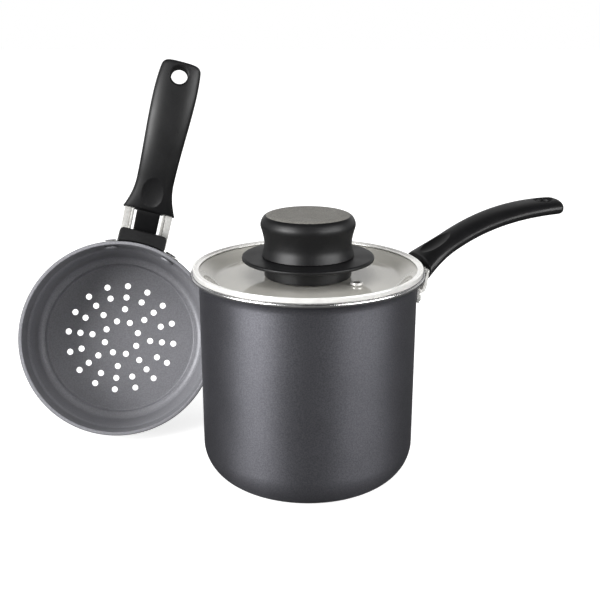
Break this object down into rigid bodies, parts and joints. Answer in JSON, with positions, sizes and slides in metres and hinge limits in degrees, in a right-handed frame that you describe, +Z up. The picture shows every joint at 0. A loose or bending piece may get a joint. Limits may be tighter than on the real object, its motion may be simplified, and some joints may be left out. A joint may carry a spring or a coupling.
{
  "type": "couscous steamer",
  "caption": "Deep non-stick saucepan with a long handle, a glass lid with a round knob, and a perforated basket with the same handle that steams food over the pot.",
  "frame": {"origin": "centre of the pot's base on the table", "axes": "+Z up, +X to the viewer's right, -Y towards the viewer; the pot's handle points 18.4 degrees from +X towards +Y"},
  "size_m": [0.3862, 0.2022, 0.2703],
  "materials": {
    "outside_coating": "dark graphite metallic non-stick coating, satin",
    "inside_coating": "grey non-stick coating, satin",
    "coated_rivet": "rivet heads under the same grey coating, satin",
    "stainless_steel": "polished stainless steel",
    "polished_band": "bright polished stainless steel",
    "phenolic": "black moulded phenolic, satin",
    "lid_glass": "clear tempered glass",
    "silicone": "black silicone",
    "brass": "machined brass"
  },
  "bodies": {
    "pot": {"pot_body": "outside_coating", "pot_handle_bracket": "stainless_steel", "pot_handle_rivet_left": "stainless_steel", "pot_handle_rivet_right": "stainless_steel", "pot_handle_screw": "stainless_steel", "pot_handle_grip": "phenolic", "pot_heat_guard": "phenolic"},
    "lid": {"lid_glass": "lid_glass", "lid_rim_band": "polished_band", "vent_eyelet": "polished_band", "glass_seal": "silicone", "lid_knob": "phenolic", "knob_guard_disc": "phenolic", "knob_insert": "brass", "knob_screw": "stainless_steel", "knob_cushion_washer": "silicone", "knob_steel_washer": "stainless_steel"},
    "basket": {"basket_body": "inside_coating", "basket_handle_bracket": "stainless_steel", "basket_handle_rivet_left": "coated_rivet", "basket_handle_rivet_right": "coated_rivet", "basket_handle_screw": "stainless_steel", "basket_handle_grip": "phenolic", "basket_heat_guard": "phenolic"}
  },
  "joints": [
    {"name": "lid_lift", "type": "slide", "parent": "pot", "child": "lid", "axis": [0, 0, 1], "range_m": [0, 0.12]},
    {"name": "basket_lift", "type": "slide", "parent": "pot", "child": "basket", "axis": [0, 0, 1], "range_m": [0, 0.15]}
  ]
}
